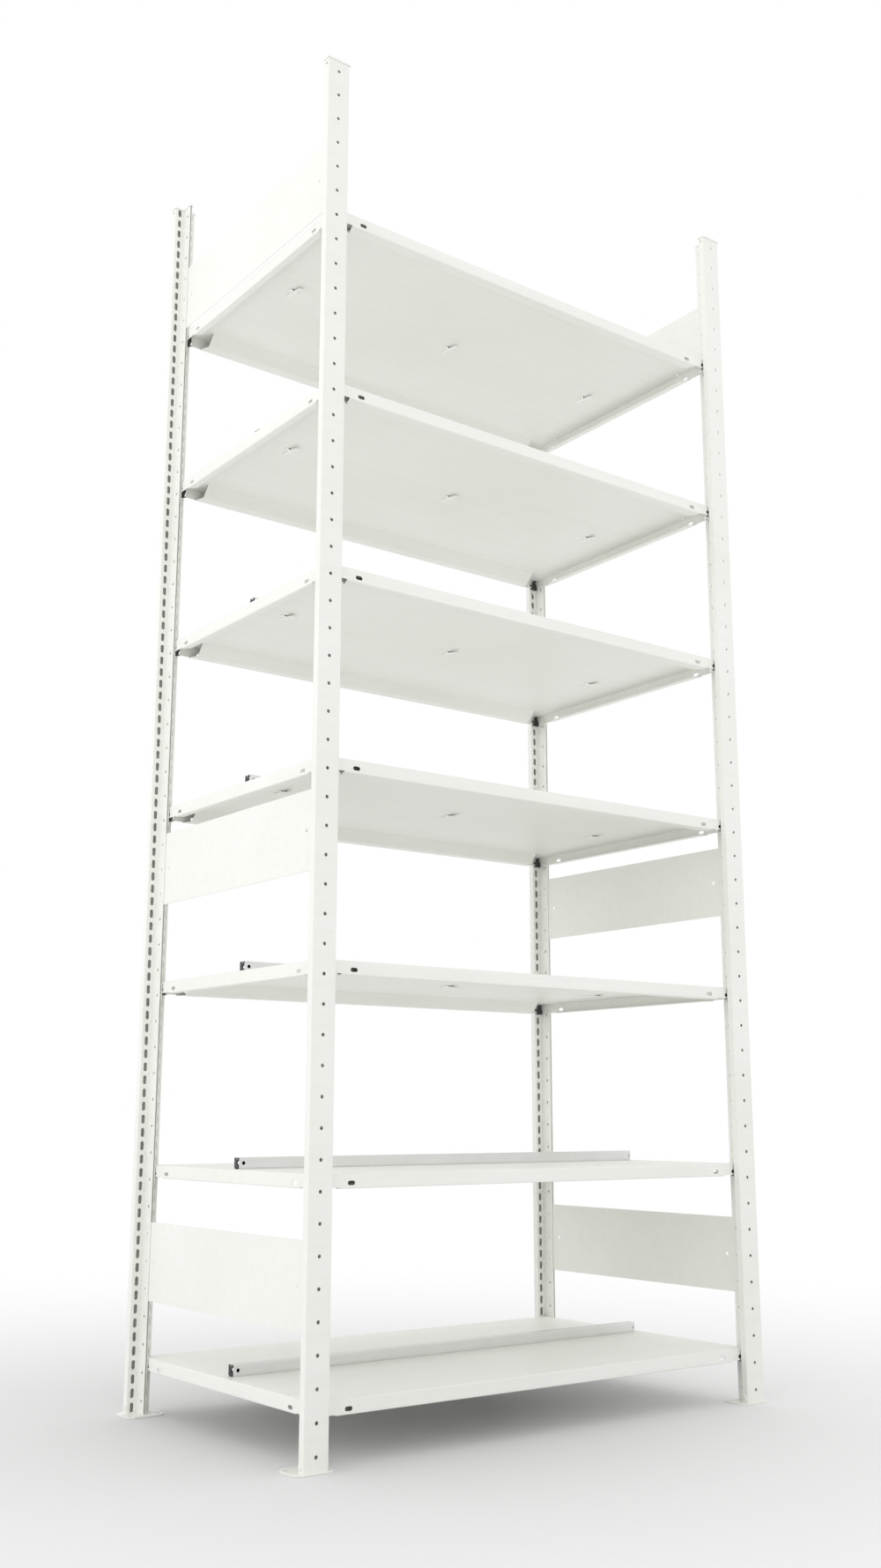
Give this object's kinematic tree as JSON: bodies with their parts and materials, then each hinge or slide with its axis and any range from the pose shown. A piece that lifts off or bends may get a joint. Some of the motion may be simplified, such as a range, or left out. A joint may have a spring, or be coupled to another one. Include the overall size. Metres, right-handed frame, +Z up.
{
  "type": "office shelving unit",
  "caption": "Free-standing double-sided steel shelving bay: T-section posts on foot plates, lift-off tray shelves on plastic clips, divider rails and side panels.",
  "frame": {"origin": "on the floor, in the middle of the rectangle of the four feet", "axes": "+Z up along the posts, X along the shelves with +X to the right seen from the front, +Y from the front to the back"},
  "size_m": [1.0864, 0.643, 2.501],
  "materials": {
    "steel_white": "warm white powder coat, satin",
    "cap_plastic": "off-white moulded plastic, fine matte",
    "clip_plastic": "black moulded plastic, matte",
    "rail_aluminium": "extruded aluminium, natural anodised",
    "end_cap_plastic": "dark grey moulded plastic, glossy"
  },
  "bodies": {
    "frame": {"post_front_left": "steel_white", "foot_front_left": "steel_white", "cap_front_left": "cap_plastic", "post_front_right": "steel_white", "foot_front_right": "steel_white", "cap_front_right": "cap_plastic", "post_back_left": "steel_white", "foot_back_left": "steel_white", "cap_back_left": "cap_plastic", "post_back_right": "steel_white", "foot_back_right": "steel_white", "cap_back_right": "cap_plastic", "panel_low_left": "steel_white", "panel_low_right": "steel_white", "panel_middle_left": "steel_white", "panel_middle_right": "steel_white", "panel_top_left": "steel_white", "panel_top_right": "steel_white", "clip_1_front_left": "clip_plastic", "clip_1_front_right": "clip_plastic", "clip_1_back_left": "clip_plastic", "clip_1_back_right": "clip_plastic", "clip_2_front_left": "clip_plastic", "clip_2_front_right": "clip_plastic", "clip_2_back_left": "clip_plastic", "clip_2_back_right": "clip_plastic", "clip_3_front_left": "clip_plastic", "clip_3_front_right": "clip_plastic", "clip_3_back_left": "clip_plastic", "clip_3_back_right": "clip_plastic", "clip_4_front_left": "clip_plastic", "clip_4_front_right": "clip_plastic", "clip_4_back_left": "clip_plastic", "clip_4_back_right": "clip_plastic", "clip_5_front_left": "clip_plastic", "clip_5_front_right": "clip_plastic", "clip_5_back_left": "clip_plastic", "clip_5_back_right": "clip_plastic", "clip_6_front_left": "clip_plastic", "clip_6_front_right": "clip_plastic", "clip_6_back_left": "clip_plastic", "clip_6_back_right": "clip_plastic", "clip_7_front_left": "clip_plastic", "clip_7_front_right": "clip_plastic", "clip_7_back_left": "clip_plastic", "clip_7_back_right": "clip_plastic"},
    "shelf_1_set": {"shelf_1": "steel_white", "rail_1": "rail_aluminium"},
    "shelf_2_set": {"shelf_2": "steel_white", "rail_2": "rail_aluminium"},
    "shelf_3_set": {"shelf_3": "steel_white", "rail_3": "rail_aluminium"},
    "shelf_4_set": {"shelf_4": "steel_white", "rail_4": "rail_aluminium"},
    "shelf_5_set": {"shelf_5": "steel_white", "rail_5": "rail_aluminium"},
    "shelf_6_set": {"shelf_6": "steel_white", "rail_6": "rail_aluminium"},
    "shelf_7_set": {"shelf_7": "steel_white", "rail_7": "rail_aluminium"}
  },
  "joints": [
    {"name": "shelf_1_lift", "type": "slide", "parent": "frame", "child": "shelf_1_set", "axis": [0, 0, 1], "range_m": [0, 0.025]},
    {"name": "shelf_2_lift", "type": "slide", "parent": "frame", "child": "shelf_2_set", "axis": [0, 0, 1], "range_m": [0, 0.025]},
    {"name": "shelf_3_lift", "type": "slide", "parent": "frame", "child": "shelf_3_set", "axis": [0, 0, 1], "range_m": [0, 0.025]},
    {"name": "shelf_4_lift", "type": "slide", "parent": "frame", "child": "shelf_4_set", "axis": [0, 0, 1], "range_m": [0, 0.025]},
    {"name": "shelf_5_lift", "type": "slide", "parent": "frame", "child": "shelf_5_set", "axis": [0, 0, 1], "range_m": [0, 0.025]},
    {"name": "shelf_6_lift", "type": "slide", "parent": "frame", "child": "shelf_6_set", "axis": [0, 0, 1], "range_m": [0, 0.025]},
    {"name": "shelf_7_lift", "type": "slide", "parent": "frame", "child": "shelf_7_set", "axis": [0, 0, 1], "range_m": [0, 0.025]}
  ]
}
